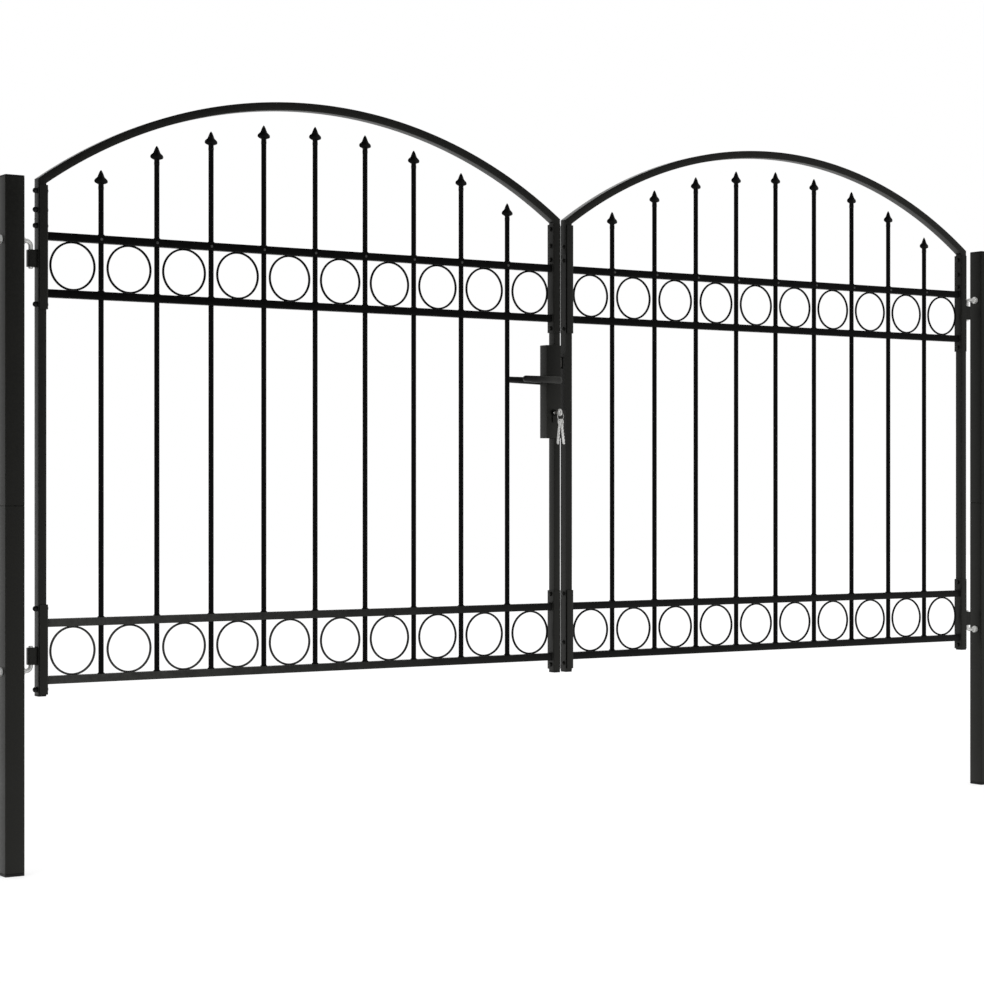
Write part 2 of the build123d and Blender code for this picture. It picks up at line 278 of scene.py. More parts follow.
def finish(name, look):
    # a base tone with soft mottling, roughness that follows it, and fine grain as bump
    material = bpy.data.materials.new(name)
    paint = Paint(material)
    place = paint.node("TexCoord", out="Object")
    stretched = paint.node("Mapping", {}, {"Vector": place, "Scale": look.get("grainStretch", (1, 1, 1))})
    mottle = paint.node("TexNoise", {}, {"Vector": place, "Scale": look["mottleScale"], "Detail": 5.0})
    grain = paint.node("TexNoise", {}, {"Vector": stretched, "Scale": look["grainScale"], "Detail": 2.0})
    speckScale = look["grainScale"] / grainsPerSpeck
    speck = paint.node("TexNoise", {}, {"Vector": place, "Scale": speckScale, "Detail": 3.0})
    share = ((mottle + speck - 1) * look["contrast"] + 0.5).clamped()
    rough = look["roughness"] + (share - 0.5) * look["roughSpan"] + (grain - 0.5) * look["roughSpan"]
    relief = {"Strength": look["bump"], "Distance": look["bumpDepth"], "Height": grain}
    height = paint.node("Bump", {}, relief, out="Normal")
    tone = paint.blend(share, look["dark"] + (1,), look["light"] + (1,))
    if "fade" in look:
        # from the tip's tone to the full tone, evenly along X: painted light on the lower bands, painted shade
        # at the lever's tip
        start, end = look["fade"]
        along = paint.node("SeparateXYZ", {}, {0: place}, out="X")
        reach = ((along - start) * (1 / (end - start))).clamped()
        tipDark, tipLight = ([part * value for value in look["tipTone"]] + [1] for part in look["tipSpan"])
        tone = paint.blend(reach, paint.blend(share, tipDark, tipLight), tone)
    sockets = {
        "Base Color": tone,
        "Metallic": look["metallic"],
        "Specular IOR Level": look["shine"],
        "Specular Tint": look.get("sheen", (1, 1, 1)) + (1,),
        "Roughness": rough,
        "Normal": height,
    }
    surface = paint.node("BsdfPrincipled", {}, sockets)
    paint.node("OutputMaterial", {}, {"Surface": surface})
    return material


looks = {
    "black_coat": {
        "dark": (0.0018, 0.0018, 0.0016), "light": (0.0038, 0.0038, 0.0033), "metallic": 0.0, "shine": 0.35,
        "sheen": (1.0, 1.0, 0.93), "mottleScale": 7.0, "grainScale": 950.0, "contrast": 1.6,
        "roughness": 0.42, "roughSpan": 0.1, "bump": 0.25, "bumpDepth": 0.00012},
    # the black coat made darker for the thin bars, their welds and the keyhole plugs: painted shade
    "painted_shade_black": {
        "dark": (0.0005, 0.0005, 0.0005), "light": (0.0016, 0.0016, 0.0015), "metallic": 0.0, "shine": 0.09,
        "mottleScale": 30.0, "grainScale": 950.0, "contrast": 1.8,
        "roughness": 0.46, "roughSpan": 0.14, "bump": 0.25, "bumpDepth": 0.00012},
    # the lower bands: a darker copy of the coat, painted shade, turning lighter towards the left leaf's hinge
    # end as painted light from the floor
    "painted_floor_light_black": {
        "dark": (0.001, 0.001, 0.001), "light": (0.003, 0.003, 0.0028), "metallic": 0.0, "shine": 0.15,
        "fade": (0.1, 1.45), "tipTone": (0.045, 0.045, 0.042), "tipSpan": (0.75, 1.25),
        "mottleScale": 30.0, "grainScale": 950.0, "contrast": 1.8,
        "roughness": 0.46, "roughSpan": 0.14, "bump": 0.25, "bumpDepth": 0.00012},
    "cast_black": {
        "dark": (0.0006, 0.0006, 0.0006), "light": (0.0018, 0.0018, 0.0017), "metallic": 0.0, "shine": 0.12,
        "mottleScale": 60.0, "grainScale": 620.0, "contrast": 1.8,
        "roughness": 0.48, "roughSpan": 0.14, "bump": 0.4, "bumpDepth": 0.0003},
    "black_plastic": {
        "dark": (0.0022, 0.0022, 0.0022), "light": (0.0045, 0.0045, 0.0045), "metallic": 0.0, "shine": 0.3,
        "mottleScale": 25.0, "grainScale": 1400.0, "contrast": 1.4,
        "roughness": 0.55, "roughSpan": 0.1, "bump": 0.3, "bumpDepth": 0.0001},
    # the levers' tone runs darker towards the tip: painted shade
    "lever_black": {
        "dark": (0.026, 0.026, 0.024), "light": (0.04, 0.04, 0.036), "metallic": 0.0, "shine": 0.3,
        "fade": (1.37, 1.425), "tipTone": (0.002, 0.002, 0.002), "tipSpan": (0.75, 1.25),
        "mottleScale": 30.0, "grainScale": 1200.0, "contrast": 1.5,
        "roughness": 0.36, "roughSpan": 0.08, "bump": 0.15, "bumpDepth": 0.0001},
    # rivets lighter than the coat: a painted highlight
    "rivet_painted_highlight": {
        "dark": (0.03, 0.03, 0.03), "light": (0.055, 0.055, 0.053), "metallic": 0.0, "shine": 0.4,
        "mottleScale": 200.0, "grainScale": 1200.0, "contrast": 1.6,
        "roughness": 0.4, "roughSpan": 0.1, "bump": 0.15, "bumpDepth": 0.0001},
    "zinc_plate": {
        "dark": (0.74, 0.74, 0.72), "light": (0.94, 0.94, 0.92), "metallic": 0.35, "shine": 0.5,
        "mottleScale": 90.0, "grainScale": 800.0, "contrast": 1.9,
        "roughness": 0.34, "roughSpan": 0.2, "bump": 0.2, "bumpDepth": 0.0001},
    # nickel kept dark: painted shade on the nickel in the meeting gap and on the key's blade in the lock
    "nickel": {
        "dark": (0.16, 0.155, 0.145), "light": (0.26, 0.25, 0.235), "metallic": 0.6, "shine": 0.5,
        "grainStretch": (1, 1, 0.1), "mottleScale": 60.0, "grainScale": 1600.0, "contrast": 1.5,
        "roughness": 0.3, "roughSpan": 0.16, "bump": 0.3, "bumpDepth": 0.00005},
    "key_steel": {
        "dark": (0.74, 0.74, 0.72), "light": (0.92, 0.92, 0.9), "metallic": 0.4, "shine": 0.5,
        "grainStretch": (1, 0.1, 0.1), "mottleScale": 80.0, "grainScale": 2200.0, "contrast": 1.5,
        "roughness": 0.24, "roughSpan": 0.16, "bump": 0.25, "bumpDepth": 0.00004},
}
# nodes whose look differs from their slot's: the pickets take the darker copy of the coat, painted shade, and
# the lock cylinder takes the black coat over its nickel, painted shade
nodeLooks = {"left_pickets": "painted_shade_black", "right_pickets": "painted_shade_black", "lock_cylinder": "black_coat"}
finishes = {slotName: finish(slotName + "_finish", look) for slotName, look in looks.items()}
for part in frame["record"]["subparts"]:
    node = frame["nodes"][part["node"]]
    node.data.materials.clear()
    node.data.materials.append(finishes[nodeLooks.get(part["node"], part["material_slot"])])
print("finishes:", len(finishes))


# Posts: rounded tube lengths with a small chamfer at each end, so that the butt joint shows as a line

postShape = {"corner": 1.8 * mm, "endChamfer": 0.8 * mm, "capEdge": 1.4 * mm, "capCorner": 2.0 * mm,
             "capLip": 0.35 * mm, "capRows": 6}


def tubeLength(low, high, corner, chamfer):
    outline = roundedBox(high[0] - low[0], high[1] - low[1], corner)
    heights = (low[2], low[2] + chamfer, high[2] - chamfer, high[2])
    centre = ((low[0] + high[0]) / 2, (low[1] + high[1]) / 2, 0)
    return stacked(outline, heights, (chamfer, 0, 0, chamfer), centre)


def cap(low, high, rim, upward, shape):
    # a lip, then sides that round over a quarter turn into a flat face
    outline = roundedBox(high[0] - low[0], high[1] - low[1], shape["capCorner"], shape["capRows"])
    turn = quarterTurn(shape["capRows"])
    edge = shape["capEdge"]
    heights = np.concatenate([[0, shape["capLip"]], rim - edge + edge * np.sin(turn)])
    insets = np.concatenate([[shape["capLip"], 0], edge * (1 - np.cos(turn))])
    outer = high[2] if upward else low[2]
    centre = ((low[0] + high[0]) / 2, (low[1] + high[1]) / 2)
    level = outer + (heights - rim if upward else rim - heights)
    return stacked(outline, level, insets, centre + (0,))


footRim = boxOf("left_post_lower")[0][2]
topRim = boxOf("left_post_top_cap")[1][2] - boxOf("left_post_upper")[1][2]
for side in sides:
    for name in ("post_lower", "post_upper"):
        tube = tubeLength(*sideBox(side, name), postShape["corner"], postShape["endChamfer"])
        oneSide(side, "_" + name + "_tube", "posts", "black_coat", [tube], [name])
    for name, rim, upward in (("foot_cap", footRim, False), ("top_cap", topRim, True)):
        made = cap(*sideBox(side, "post_" + name), rim, upward, postShape)
        oneSide(side, "_" + name, "posts", "black_plastic", [made], ["post_" + name])
print("posts done")


# Hook bolts and nuts

hookShape = {"radius": 5 * mm, "bend": 11 * mm, "pitch": 1.5 * mm, "threadDepth": 0.75 * mm,
             "threadLength": 13 * mm, "rowStep": 0.25 * mm, "endChamfer": 1.2 * mm, "around": 28,
             "runRows": 12, "bendRows": 14, "pinRows": 10}


def hookBolt(low, high, pinUp):
    # a round bar along a straight tail, a quarter bend and a straight pin; over the tail's thread its radius
    # is a triangle wave of length along the bar less turn about it, one tooth each pitch
    shape = hookShape
    radius, bend = shape["radius"], shape["bend"]
    level = low[2] + radius if pinUp else high[2] - radius
    pinX = high[0] - radius
    upDown = 1 if pinUp else -1
    pinEnd = high[2] if pinUp else low[2]
    tailX = np.arange(low[0], low[0] + shape["threadLength"], shape["rowStep"])
    runX = np.linspace(low[0] + shape["threadLength"], pinX - bend, shape["runRows"])
    turn = quarterTurn(shape["bendRows"])[1:]
    bendX = pinX - bend + bend * np.sin(turn)
    bendZ = level + upDown * bend * (1 - np.cos(turn))
    pinZ = np.linspace(bendZ[-1], pinEnd, shape["pinRows"])[1:]
    pinZ = np.insert(pinZ, -1, pinEnd - upDown * shape["endChamfer"])
    pathX = np.concatenate([tailX, runX, bendX, np.full(len(pinZ), pinX)])
    pathZ = np.concatenate([np.full(len(tailX) + len(runX), level), bendZ, pinZ])
    path = np.stack([pathX, np.zeros(len(pathX)), pathZ], -1)
    around = fullTurn(shape["around"])
    travel = lengthAlong(path)
    tooth = (travel[:, None] / shape["pitch"] - around / (2 * math.pi)) % 1
    threaded = np.clip((shape["threadLength"] - travel) / shape["pitch"], 0, 1)[:, None]
    size = radius - shape["threadDepth"] * threaded * np.abs(2 * tooth - 1)
    size = np.minimum(size, radius - shape["endChamfer"] + np.minimum(travel, travel[-1] - travel)[:, None])
    profile = size[..., None] * np.stack([np.cos(around), np.sin(around)], -1)
    return sweep(profile, path, acrossY)


nutShape = {"flats": 17 * mm, "height": 8 * mm, "bore": 5.05 * mm, "chamfer": 0.9 * mm, "faceShare": 0.97,
            "around": 48}


def hexNut(foot, axis, shape):
    # radius is the hexagon's, flat over cosine, held in by a cone near each face; the rows run round from
    # the bore
    turn = fullTurn(shape["around"])
    flat = shape["flats"] / 2
    hexagon = flat / np.cos((turn + math.pi / 6) % (math.pi / 3) - math.pi / 6)
    height, chamfer, bore = shape["height"], shape["chamfer"], shape["bore"]
    corner = flat / math.cos(math.pi / 6)
    face, between = flat * shape["faceShare"], (flat + corner) / 2
    level = np.array([0, 0, chamfer / 2, chamfer, height - chamfer, height - chamfer / 2, height, height])
    limit = np.array([bore, face, between, corner, corner, between, face, bore])
    radius = np.minimum(hexagon, limit[:, None])
    start = np.cross(axis, upZ)
    other = np.cross(axis, start)
    spoke = np.cos(turn)[:, None] * start + np.sin(turn)[:, None] * other
    points = foot + radius[..., None] * spoke + level[:, None, None] * axis
    return ringGrid(points, True)


boltLevels = (boxOf("left_lower_hinge_hook")[0][2] + hookShape["radius"],
              boxOf("left_upper_hinge_hook")[1][2] - hookShape["radius"])
for side in sides:
    for name, pinUp in (("upper", False), ("lower", True)):
        node = name + "_hinge_hook"
        bolt = hookBolt(*sideBox(side, node), pinUp)
        oneSide(side, "_" + name + "_hook_bolt", "posts", "zinc_plate", [bolt], [node], sharpAngle=50)
    postLow, postHigh = sideBox(side, "post_lower")
    nutFeet = [np.array([x, 0, z]) for z in boltLevels for x in (postLow[0] - nutShape["height"], postHigh[0])]
    nuts = [hexNut(foot, acrossX, nutShape) for foot in nutFeet]
    oneSide(side, "_hook_nuts", "posts", "zinc_plate", nuts, ["hinge_nuts"])
print("hook bolts done")


# Leaf frame: stiles, arched head, sleeves, plugs and hinge barrels

frameShape = {"stileCorner": 1.2 * mm, "endChamfer": 0.5 * mm, "springDrop": 2 * mm, "archRows": 120,
              "sleeveWall": 3.0 * mm, "sleeveFit": 0.3 * mm, "sleeveBend": 3.2 * mm,
              "bendRows": 7, "lowerOverhang": 32 * mm, "upperTail": 27 * mm, "barrelCorner": 2.6 * mm,
              "barrelChamfer": 0.9 * mm, "barrelHeight": 38 * mm, "plugEdge": 1.2 * mm, "plugRows": 5}
stileLow, stileHigh = boxOf("left_hinge_stile")
leafLow, leafHigh = boxOf("left_arch")
stileWidth, stileDepth = (stileHigh - stileLow)[:2]
stileOutline = roundedBox(stileWidth, stileDepth, frameShape["stileCorner"])
leafCentre = (leafLow[0] + leafHigh[0]) / 2
sleeveLow, sleeveHigh = boxOf("left_sleeves")
lowerBand = boxOf("left_lower_ring_band")
upperBand = boxOf("left_upper_ring_band")


def archTube():
    # centre line: a stub, an arc of radius (half span squared + rise squared) over twice the rise, and a stub,
    # all half a tube inside the outer outline, with mitres where the arc meets the stubs
    spring = boxOf("left_post_top_cap")[1][2] - frameShape["springDrop"]
    half = (leafHigh[0] - leafLow[0]) / 2
    rise = leafHigh[2] - spring
    radius = (half ** 2 + rise ** 2) / (2 * rise)
    centreZ = leafHigh[2] - radius
    inner, innerHalf = radius - stileWidth / 2, half - stileWidth / 2
    reach = math.asin(innerHalf / inner)
    turn = np.linspace(-reach, reach, frameShape["archRows"])
    arc = np.stack([leafCentre + inner * np.sin(turn), np.zeros(len(turn)), centreZ + inner * np.cos(turn)], -1)
    first = [[leafCentre - innerHalf, 0, leafLow[2]]]
    last = [[leafCentre + innerHalf, 0, leafLow[2]]]
    return sweep(stileOutline, np.concatenate([first, arc, last]), acrossY)


def sleeve(base, top):
    # channel outline: round the outside with two bent corners, then back along the inside
    wall, fit, bend = frameShape["sleeveWall"], frameShape["sleeveFit"], frameShape["sleeveBend"]
    outer = sleeveHigh[1]
    web = stileHigh[0] + fit + wall
    lip = sleeveLow[0]
    turn = quarterTurn(frameShape["bendRows"])
    cornerX, cornerY = web - bend + bend * np.cos(turn), outer - bend + bend * np.sin(turn)
    half = np.stack([np.append(cornerX, (lip, lip)), np.append(cornerY, (outer, outer - wall))], -1)
    inside = np.array([[web - wall, outer - wall]])
    upper = np.concatenate([half, inside])
    lower = upper[::-1] * (1, -1)
    outline = np.concatenate([upper, lower])
    points = np.stack([np.column_stack([outline, np.full(len(outline), z)]) for z in (base, top)])
    return ringGrid(points)


bothLeaves("_arched_head", "black_coat", [archTube()], ["arch"])
stileTube = tubeLength(stileLow, stileHigh, frameShape["stileCorner"], frameShape["endChamfer"])
bothLeaves("_hinge_stile_tube", "black_coat", [stileTube], ["hinge_stile"])
for name in ("left_lower_meeting_stile", "left_upper_meeting_stile"):
    meetingTube = tubeLength(*boxOf(name), frameShape["stileCorner"], frameShape["endChamfer"])
    makePiece(name + "_tube", "left_leaf", "black_coat", [meetingTube], [name])
sleeves = [sleeve(sleeveLow[2], lowerBand[1][2] + frameShape["lowerOverhang"]),
           sleeve(upperBand[0][2] - frameShape["upperTail"], sleeveHigh[2])]
bothLeaves("_channel_sleeves", "black_coat", sleeves + mirrored(sleeves, leafCentre), ["sleeves"])


def stilePlug(top, rim):
    # a plate under the tube whose lower edge rounds over a quarter turn
    turn = quarterTurn(frameShape["plugRows"])
    edge = frameShape["plugEdge"]
    heights = np.append(top, top - rim + edge * (1 - np.sin(turn)))
    insets = np.append(0, edge * (1 - np.cos(turn)))
    return stacked(stileOutline, heights, insets, ((stileLow[0] + stileHigh[0]) / 2, 0, 0))


meetingFoot = boxOf("left_lower_meeting_stile")[0][2]
plugRim = meetingFoot - boxOf("left_stile_plugs")[0][2]
plugs = [stilePlug(stileLow[2], plugRim)] + mirrored([stilePlug(meetingFoot, plugRim)], leafCentre)
bothLeaves("_foot_plugs", "black_plastic", plugs, ["stile_plugs"])


barrelLow, barrelHigh = boxOf("left_hinge_barrels")
barrelBases = (barrelLow[2], barrelHigh[2] - frameShape["barrelHeight"])


def hingeBarrel(base):
    top, chamfer = base + frameShape["barrelHeight"], frameShape["barrelChamfer"]
    width, depth = (barrelHigh - barrelLow)[:2]
    outline = roundedBox(width, depth, frameShape["barrelCorner"])
    centre = ((barrelLow[0] + barrelHigh[0]) / 2, 0, 0)
    return stacked(outline, (base, base + chamfer, top - chamfer, top), (chamfer, 0, 0, chamfer), centre)


bothLeaves("_hinge_blocks", "black_coat", [hingeBarrel(base) for base in barrelBases], ["hinge_barrels"])
print("leaf frames done")


# Ring bands

bandShape = {"rail": 18 * mm, "railCorner": 1.6 * mm, "ringBar": 4.6 * mm, "ringCorner": 1.1 * mm,
             "cornerRows": 4, "ringWeld": 1.0 * mm, "ringRows": 96}
picketLow, picketHigh = boxOf("left_pickets")
picketRadius = (picketHigh[1] - picketLow[1]) / 2
picketCount = 9
picketX = np.linspace(picketLow[0] + picketRadius, picketHigh[0] - picketRadius, picketCount)
picketPitch = picketX[1] - picketX[0]
ringX = np.append(picketX - picketPitch / 2, picketX[-1] + picketPitch / 2)


def rail(low, high, base):
    outline = roundedBox(bandShape["rail"], bandShape["rail"], bandShape["railCorner"])
    level = base + bandShape["rail"] / 2
    return sweep(outline, [[low[0], 0, level], [high[0], 0, level]], acrossY)


def ring(x, level, radius):
    # a rounded square bar bent into a circle about an axis along Y
    bar = bandShape["ringBar"]
    outline = roundedBox(bar, bar, bandShape["ringCorner"], bandShape["cornerRows"])
    turn = fullTurn(bandShape["ringRows"])
    path = np.stack([x + radius * np.cos(turn), np.zeros(len(turn)), level + radius * np.sin(turn)], -1)
    return sweep(outline, path, acrossY, True)


def band(low, high):
    opening = high[2] - low[2] - 2 * bandShape["rail"]
    radius = opening / 2 + bandShape["ringWeld"] - bandShape["ringBar"] / 2
    shells = [rail(low, high, low[2]), rail(low, high, high[2] - bandShape["rail"])]
    return shells + [ring(x, (low[2] + high[2]) / 2, radius) for x in ringX]


# the upper band takes the darker copy of the coat: painted shade
bothLeaves("_upper_rings_and_rails", "black_coat", band(*upperBand), ["upper_ring_band"], look="painted_shade_black")
# the lower band takes painted shade, with painted light from the floor towards the left leaf's hinge end
bothLeaves("_lower_rings_and_rails", "black_coat", band(*lowerBand), ["lower_ring_band"], look="painted_floor_light_black")
print("ring bands done")


# Spear heads

spearShape = {"width": 33 * mm, "height": 32 * mm, "neckHeight": 12 * mm, "neckMargin": 0.4 * mm,
              "footEdge": 0.5 * mm, "footInset": 0.4 * mm, "collarInset": 0.3 * mm,
              "collarShares": (0.55, 0.6, 0.9), "around": 32, "rows": 60, "edgePower": 0.75, "edgeRise": 0.12}
spearLow, spearHigh = boxOf("left_spear_points")
# level up the head, half width and half thickness, as shares of the head's height, half width and half depth
spearShares = np.array([
    (0.00, 0.37, 0.98), (0.05, 0.68, 0.90), (0.10, 0.91, 0.86), (0.16, 0.99, 0.90), (0.23, 1.00, 0.95),
    (0.31, 0.95, 0.96), (0.37, 0.84, 0.95), (0.43, 0.69, 0.92), (0.50, 0.54, 0.86), (0.58, 0.47, 0.78),
    (0.68, 0.39, 0.66), (0.80, 0.29, 0.50), (0.90, 0.18, 0.32), (0.96, 0.09, 0.17), (1.00, 0.01, 0.03),
])


def tipLevels():
    # tips stand on an arc through the middle tip and the two outer ones
    reach = picketX[-1] - leafCentre
    drop = spearHigh[2] - (spearLow[2] + spearShape["neckHeight"] + spearShape["height"])
    radius = (reach ** 2 + drop ** 2) / (2 * drop)
    return spearHigh[2] - radius + np.sqrt(radius ** 2 - (picketX - leafCentre) ** 2)


def spearHead(x, tip):
    # rows up the neck and head; each row is a circle drawn out to its half width and half thickness, with the
    # cosine and sine raised to a power so that it has soft edges
    shape = spearShape
    turn = fullTurn(shape["around"])
    level = np.linspace(0, 1, shape["rows"])
    wide = np.interp(level, spearShares[:, 0], spearShares[:, 1]) * shape["width"] / 2
    thick = np.interp(level, spearShares[:, 0], spearShares[:, 2]) * spearHigh[1]
    neck = picketRadius + shape["neckMargin"]
    above = neck - shape["collarInset"]
    collar = [neck - shape["footInset"], neck, neck, above, above]
    collarLevels = [0, shape["footEdge"]] + [shape["neckHeight"] * share for share in shape["collarShares"]]
    wide = np.concatenate([collar, wide])
    thick = np.concatenate([collar, thick])
    height = np.concatenate([collarLevels, shape["neckHeight"] + level * shape["height"]])
    edge = np.interp(level, (0, shape["edgeRise"]), (1, shape["edgePower"]))
    soft = np.concatenate([np.ones(len(collar)), edge])[:, None]
    cos, sin = softWaves(turn, 1 / soft)
    foot = tip - shape["height"] - shape["neckHeight"]
    levels = np.broadcast_to((foot + height)[:, None], cos.shape)
    return ringGrid(np.stack([x + wide[:, None] * cos, thick[:, None] * sin, levels], -1))


spears = [spearHead(x, tip) for x, tip in zip(picketX, tipLevels())]
bothLeaves("_spear_heads", "cast_black", spears, ["spear_points"], sharpAngle=55)
print("spear heads done")


# Fasteners: dome caps on the hinge stiles, low heads in the meeting gap, hexagon heads inside, rivets on
# the top rail

boltShape = {"capLevels": (1500 * mm, 1458 * mm, 1423 * mm, 1250 * mm, 581 * mm, 403 * mm),
             "gapLevels": (1458 * mm, 1423 * mm, 1250 * mm, 581 * mm, 458 * mm, 405 * mm),
             "capRadius": 6 * mm, "capWall": 3.5 * mm, "capHeight": 8.5 * mm,
             "headRadius": 5.5 * mm, "headWall": 0.8 * mm, "headHeight": 3.4 * mm, "around": 28, "crownRows": 9,
             "rivetRadius": 3.2 * mm, "rivetWall": 0.3 * mm, "rivetHeight": 1.3 * mm, "rivetAround": 20,
             "rivetShift": -2.5 * mm}
hexHeadShape = {"flats": 10 * mm, "height": 4 * mm, "bore": 0.2 * mm, "chamfer": 0.6 * mm, "faceShare": 0.97,
                "around": 36}


def dome(kind, foot, axis, around):
    # straight side, then a quarter ellipse to the crown, turned about axis
    radius, wall, height = (boltShape[kind + part] for part in ("Radius", "Wall", "Height"))
    turn = quarterTurn(boltShape["crownRows"])
    crown = np.stack([radius * np.cos(turn), wall + (height - wall) * np.sin(turn)], -1)
    return turned(np.concatenate([[(radius, 0)], crown]), np.array(foot), axis, around)


caps = [dome("cap", (leafLow[0], 0, z), -acrossX, boltShape["around"]) for z in boltShape["capLevels"]]
heads = [dome("head", (leafHigh[0], 0, z), acrossX, boltShape["around"]) for z in boltShape["gapLevels"]]
webFace = stileHigh[0] + frameShape["sleeveFit"] + frameShape["sleeveWall"]
hexHeads = [hexNut(np.array([webFace, 0, z]), acrossX, hexHeadShape) for z in boltShape["capLevels"]]
railMiddle = upperBand[1][2] - bandShape["rail"] / 2
railFront = -bandShape["rail"] / 2
rivetFeet = [(x + boltShape["rivetShift"], railFront, railMiddle) for x in picketX]
rivets = [dome("rivet", foot, -acrossY, boltShape["rivetAround"]) for foot in rivetFeet]
bothLeaves("_bolt_caps", "black_plastic", caps)
bothLeaves("_gap_bolt_heads", "black_coat", heads)
bothLeaves("_inner_bolt_heads", "black_coat", hexHeads + mirrored(hexHeads, leafCentre))
# the rivets are lighter than the coat: painted highlight
bothLeaves("_rail_rivets", "black_coat", rivets, look="rivet_painted_highlight")
print("fasteners done")


# Weld beads: thin rods that swell and shrink with each ripple

weldShape = {"railBead": 1.7 * mm, "ringBead": 1.3 * mm, "picketBead": 2.2 * mm, "barrelBead": 2.0 * mm,
             "seamBead": 0.8 * mm, "ripple": 2.4 * mm, "swell": 0.16, "endShare": 0.02,
             "ringReach": 11 * mm, "ringRows": 34, "picketRows": 36, "railRows": 40, "loopRows": 45,
             "around": 8}


def bead(path, size, side, loop):
    # radius is size times one plus a sine of the length along the path; an open bead tapers to its ends
    path = np.asarray(path, float)
    travel = lengthAlong(path)
    radius = size * (1 + weldShape["swell"] * np.sin(travel * 2 * math.pi / weldShape["ripple"]))
    if not loop:
        fromEnd = np.minimum(travel, travel[-1] - travel)
        radius = radius * np.sqrt(np.clip(fromEnd / (2 * size), weldShape["endShare"], 1))
    profile = radius[:, None, None] * circle(1, weldShape["around"])
    return sweep(profile, path, side, loop)


def loopPath(width, height, corner, perSide, place):
    # a rounded rectangle walked at even steps, then put on its plane by place
    outline = roundedBox(width, height, corner)
    ends = np.concatenate([outline, outline[:1]])
    length = lengthAlong(ends)
    walk = np.linspace(0, length[-1], 4 * perSide, endpoint=False)
    flat = np.stack([np.interp(walk, length, ends[:, axis]) for axis in (0, 1)], -1)
    return place(flat)


def railBeads(low, high):
    shells = []
    width, corner = bandShape["rail"], bandShape["railCorner"]
    for level in (low[2] + width / 2, high[2] - width / 2):
        def atSleeve(flat):
            return np.column_stack([np.full(len(flat), webFace), flat[:, 0], level + flat[:, 1]])
        path = loopPath(width, width, corner, weldShape["railRows"], atSleeve)
        shells.append(bead(path, weldShape["railBead"], acrossX, True))
    return shells + mirrored(shells, leafCentre)


def ringBeads(low, high):
    shells = []
    reach = np.linspace(-weldShape["ringReach"], weldShape["ringReach"], weldShape["ringRows"])
    for level in (low[2] + bandShape["rail"], high[2] - bandShape["rail"]):
        for x in ringX:
            for y in (-bandShape["ringBar"] / 2, bandShape["ringBar"] / 2):
                path = np.stack([x + reach, np.full(len(reach), y), np.full(len(reach), level)], -1)
                shells.append(bead(path, weldShape["ringBead"], acrossY, False))
    return shells


def picketBeads(levels):
    foot = circle(picketRadius, weldShape["picketRows"])
    shells = []
    for level in levels:
        for x in picketX:
            path = np.column_stack([x + foot[:, 0], foot[:, 1], np.full(len(foot), level)])
            shells.append(bead(path, weldShape["picketBead"], upZ, True))
    return shells


def barrelBeads():
    shells = []
    height, corner = frameShape["barrelHeight"], frameShape["barrelCorner"]
    width = barrelHigh[1] - barrelLow[1] - 2 * corner
    for base in barrelBases:
        def atStile(flat):
            level = base + height / 2 + flat[:, 1]
            return np.column_stack([np.full(len(flat), leafLow[0]), flat[:, 0], level])
        path = loopPath(width, height, corner, weldShape["loopRows"], atStile)
        shells.append(bead(path, weldShape["barrelBead"], acrossX, True))
    return shells


def seamBeads():
    # where the arch's stubs stand on the stiles
    middle = (stileLow[0] + stileHigh[0]) / 2

    def atSeam(flat):
        return np.column_stack([flat[:, 0] + middle, flat[:, 1], np.full(len(flat), leafLow[2])])
    path = loopPath(stileWidth, stileDepth, frameShape["stileCorner"], weldShape["loopRows"], atSeam)
    shells = [bead(path, weldShape["seamBead"], upZ, True)]
    return shells + mirrored(shells, leafCentre)


railTops = [top for low, high in (lowerBand, upperBand) for top in (low[2] + bandShape["rail"], high[2])]
railWelds = railBeads(*lowerBand) + railBeads(*upperBand)
ringWelds = ringBeads(*lowerBand) + ringBeads(*upperBand)
bothLeaves("_rail_welds", "black_coat", railWelds, sharpAngle=60)
# the ring and picket welds take the darker copy of the coat: painted shade
bothLeaves("_ring_welds", "black_coat", ringWelds, sharpAngle=60, look="painted_shade_black")
bothLeaves("_picket_welds", "black_coat", picketBeads(railTops), sharpAngle=60, look="painted_shade_black")
bothLeaves("_hinge_welds", "black_coat", barrelBeads(), sharpAngle=60)
bothLeaves("_seam_welds", "black_coat", seamBeads(), sharpAngle=60)
print("welds done")


# Lock case, levers and keys

lockShape = {"corner": 1.0 * mm, "edge": 0.9 * mm, "plugRadius": 8.0 * mm, "plugProud": 0.3 * mm,
             "coreRadius": 2.8 * mm, "coreProud": 0.8 * mm, "dishEdgeShare": 0.75, "dishShare": 0.6,
             "edgeRows": 5, "cornerRows": 6, "around": 36}
caseLow, caseHigh = boxOf("lock_case")
keyLow, keyHigh = boxOf("lock_key")
lockX = (caseLow[0] + caseHigh[0]) / 2
keyLevel = (keyLow[2] + keyHigh[2]) / 2
cylinderFront = boxOf("lock_cylinder")[0][1]


def lockCase():
    # rounded outline stacked with a quarter round at the bottom and the top
    edge = lockShape["edge"]
    turn = quarterTurn(lockShape["edgeRows"])
    bottom = caseLow[2] + edge * (1 - np.cos(turn))
    heights = np.concatenate([bottom, (caseLow[2] + caseHigh[2] - bottom)[::-1]])
    drawn = edge * (1 - np.sin(turn))
    width, depth = (caseHigh - caseLow)[:2]
    outline = roundedBox(width, depth, lockShape["corner"], lockShape["cornerRows"])
    return stacked(outline, heights, np.concatenate([drawn, drawn[::-1]]), (lockX, 0, 0))


makePiece("rounded_lock_case", "left_leaf", "black_coat", [lockCase()], ["lock_case"])


